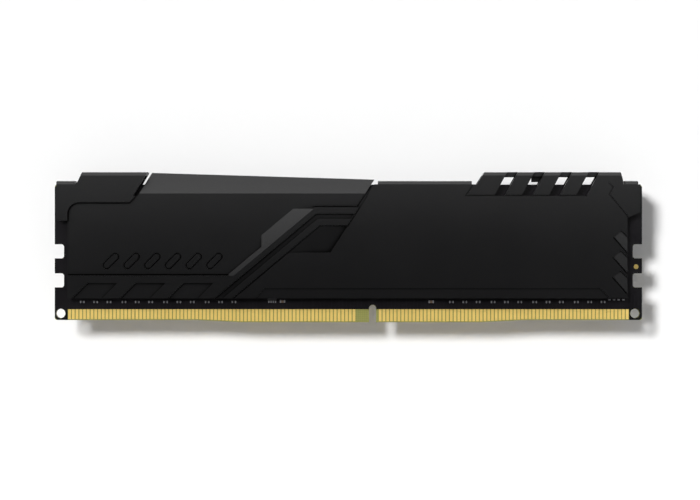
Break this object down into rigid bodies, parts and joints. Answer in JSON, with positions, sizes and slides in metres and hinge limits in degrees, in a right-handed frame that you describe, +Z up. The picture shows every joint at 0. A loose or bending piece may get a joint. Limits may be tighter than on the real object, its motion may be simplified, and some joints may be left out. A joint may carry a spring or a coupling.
{
  "type": "memory module",
  "caption": "Desktop memory module: a circuit board with gold edge contacts and memory chips, clad in two folded and stamped black aluminium heat spreaders.",
  "frame": {"origin": "middle of the contact edge, on the middle plane of the board: the bottom centre of the whole module", "axes": "+X along the board, +Y from the front side to the back side through the thickness, +Z up, away from the contact edge"},
  "size_m": [0.1334, 0.0072, 0.034],
  "materials": {
    "anodised_black": "black anodised over a fine blast, satin",
    "solder_mask": "black solder mask, semi-gloss",
    "laminate": "bare glass-cloth laminate, olive",
    "contact_gold": "gold plated copper",
    "package_black": "moulded epoxy, matt",
    "tinned_metal": "tin plated, satin",
    "resistor_body": "black glazed top on alumina",
    "capacitor_body": "fired ceramic, brown",
    "thermal_pad": "soft grey silicone"
  },
  "bodies": {
    "root": {"bypass_capacitors": "capacitor_body", "bypass_capacitors_end_caps": "tinned_metal", "circuit_board": "laminate", "contacts_back": "contact_gold", "contacts_front": "contact_gold", "decoupling_capacitors_back": "capacitor_body", "decoupling_capacitors_back_end_caps": "tinned_metal", "decoupling_capacitors_front": "capacitor_body", "decoupling_capacitors_front_end_caps": "tinned_metal", "heat_spreader_back": "anodised_black", "heat_spreader_front": "anodised_black", "memory_chip_back_1": "package_black", "memory_chip_back_2": "package_black", "memory_chip_back_3": "package_black", "memory_chip_back_4": "package_black", "memory_chip_back_5": "package_black", "memory_chip_back_6": "package_black", "memory_chip_back_7": "package_black", "memory_chip_back_8": "package_black", "memory_chip_front_1": "package_black", "memory_chip_front_2": "package_black", "memory_chip_front_3": "package_black", "memory_chip_front_4": "package_black", "memory_chip_front_5": "package_black", "memory_chip_front_6": "package_black", "memory_chip_front_7": "package_black", "memory_chip_front_8": "package_black", "series_resistors_back": "resistor_body", "series_resistors_back_end_caps": "tinned_metal", "series_resistors_front": "resistor_body", "series_resistors_front_end_caps": "tinned_metal", "solder_mask_back": "solder_mask", "solder_mask_front": "solder_mask", "spd_chip": "package_black", "spd_chip_leads": "tinned_metal", "terminating_resistors": "resistor_body", "terminating_resistors_end_caps": "tinned_metal", "test_pad": "contact_gold", "thermal_pad_back": "thermal_pad", "thermal_pad_front": "thermal_pad"}
  },
  "joints": []
}
